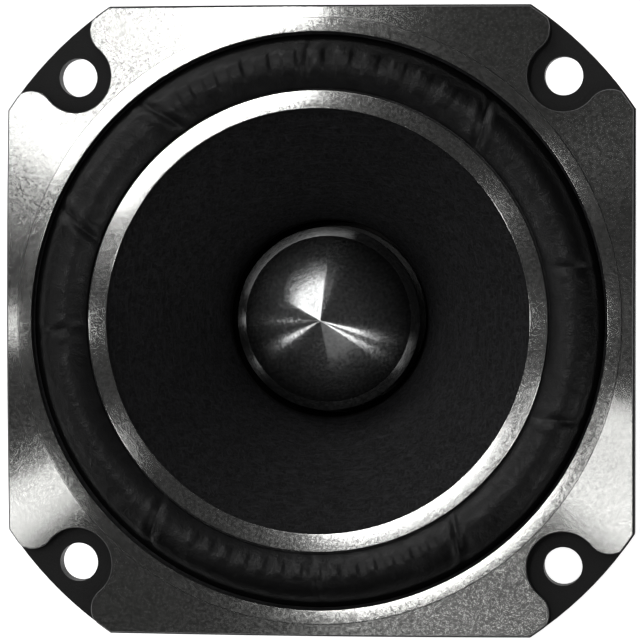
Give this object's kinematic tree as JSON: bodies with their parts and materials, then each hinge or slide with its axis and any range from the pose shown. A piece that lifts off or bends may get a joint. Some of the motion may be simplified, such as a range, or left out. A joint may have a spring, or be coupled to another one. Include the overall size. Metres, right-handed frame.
{
  "type": "car tweeter",
  "caption": "Square-flange car tweeter with a small black cone, soft half-roll edge, turned aluminium face plate and a fixed aluminium bullet; closed black cup and ferrite motor behind.",
  "frame": {"origin": "On the speaker's axis, in the plane of the flange's rear face, which lies on the panel.", "axes": "+Z is the way the sound leaves, +X is right and +Y is up as seen from the front; the terminals are on the -Y side."},
  "size_m": [0.095, 0.095, 0.0508],
  "materials": {
    "turned_aluminium": "turned, bright",
    "black_abs": "moulded, satin",
    "zinc_steel": "zinc plated",
    "ferrite": "ground ferrite",
    "paper": "black pressed paper pulp",
    "black_foam": "black coated foam",
    "polyimide": "amber film",
    "copper": "enamelled copper wire",
    "adhesive": "black rubber adhesive",
    "spider_cloth": "resin treated cloth",
    "felt": "grey felt",
    "circuit_board": "phenolic board",
    "brass": "turned",
    "tinned_brass": "tinned",
    "capacitor_sleeve": "dark blue shrink sleeve",
    "tinsel": "braided copper tinsel"
  },
  "bodies": {
    "frame": {"face_plate": "turned_aluminium", "basket": "black_abs", "floor_screws": "zinc_steel", "top_plate": "zinc_steel", "magnet": "ferrite", "back_plate": "zinc_steel", "pole_piece": "zinc_steel", "phase_plug": "turned_aluminium", "phase_plug_bolt": "zinc_steel", "surround": "black_foam", "clamp_gasket": "paper", "spider": "spider_cloth", "pole_felt": "felt", "cup_felt": "felt", "terminal_board": "circuit_board", "terminal_posts": "brass", "terminal_positive": "tinned_brass", "terminal_negative": "tinned_brass", "capacitor": "capacitor_sleeve", "capacitor_wires": "tinned_brass", "lead_positive": "tinsel", "lead_negative": "tinsel"},
    "moving_cone": {"cone_trim_ring": "turned_aluminium", "cone": "paper", "voice_coil_former": "polyimide", "voice_coil": "copper", "neck_glue": "adhesive"}
  },
  "joints": [
    {"name": "cone_travel", "type": "slide", "parent": "frame", "child": "moving_cone", "axis": [0, 0, 1], "range_m": [-0.0015, 0.0015], "stiffness_N_per_m": 1500, "deforming": ["surround", "spider", "lead_positive", "lead_negative"]}
  ]
}
